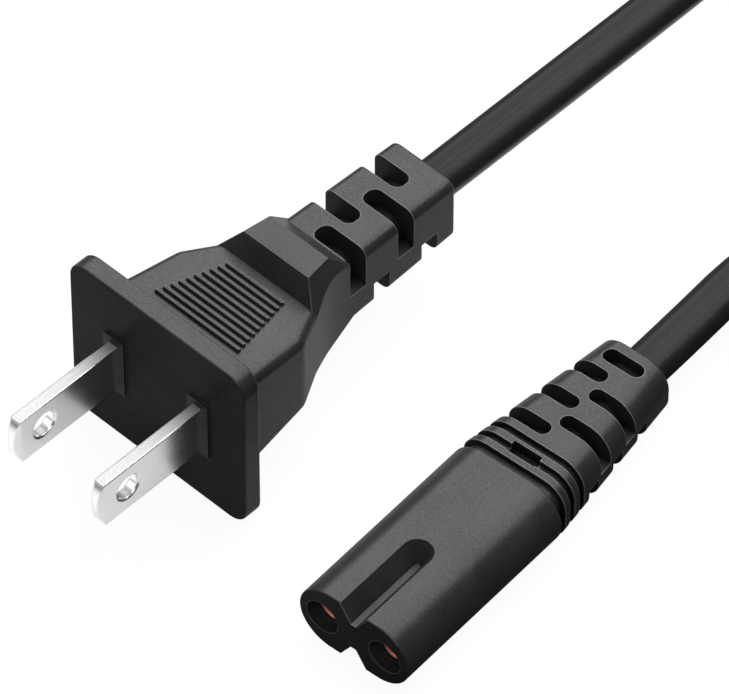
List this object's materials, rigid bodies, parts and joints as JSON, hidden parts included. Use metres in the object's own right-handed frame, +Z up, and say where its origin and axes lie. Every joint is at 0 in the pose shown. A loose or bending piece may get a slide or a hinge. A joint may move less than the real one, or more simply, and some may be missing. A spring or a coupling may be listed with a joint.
{
  "type": "power cord",
  "caption": "Black mains lead with a moulded flat-blade plug, a figure-of-eight appliance connector and a flat twin cord laid to a tied coil.",
  "frame": {"origin": "on the table, under the middle of the box round the plug and the connector together", "axes": "+Z up, +Y along the plug's axis from its face towards the cord, +X from the plug towards the connector"},
  "size_m": [0.0787, 0.1782, 0.0234],
  "materials": {
    "overmould": "soft PVC with a very fine moulded grain",
    "carrier": "hard moulded plastic, satin",
    "blade": "bright nickel plate on brass",
    "contact": "rolled copper alloy, bright",
    "core_white": "smooth insulation",
    "core_black": "smooth insulation",
    "conductor": "stranded copper, drawn as a solid wire",
    "jacket": "smooth flexible PVC, semi-matt",
    "tie": "woven strap"
  },
  "bodies": {
    "root": {"plug_overmould": "overmould", "connector_overmould": "overmould", "plug_blade_carrier": "carrier", "connector_insert": "carrier", "plug_blade_left": "blade", "plug_blade_right": "blade", "contact_left": "contact", "contact_right": "contact", "plug_core_left": "core_white", "connector_core_left": "core_white", "plug_core_right": "core_black", "connector_core_right": "core_black", "plug_conductor_left": "conductor", "plug_conductor_right": "conductor", "connector_conductor_left": "conductor", "connector_conductor_right": "conductor", "cord_plug_run": "jacket", "cord_connector_run": "jacket", "cord_coil": "jacket", "coil_tie": "tie"}
  },
  "joints": []
}
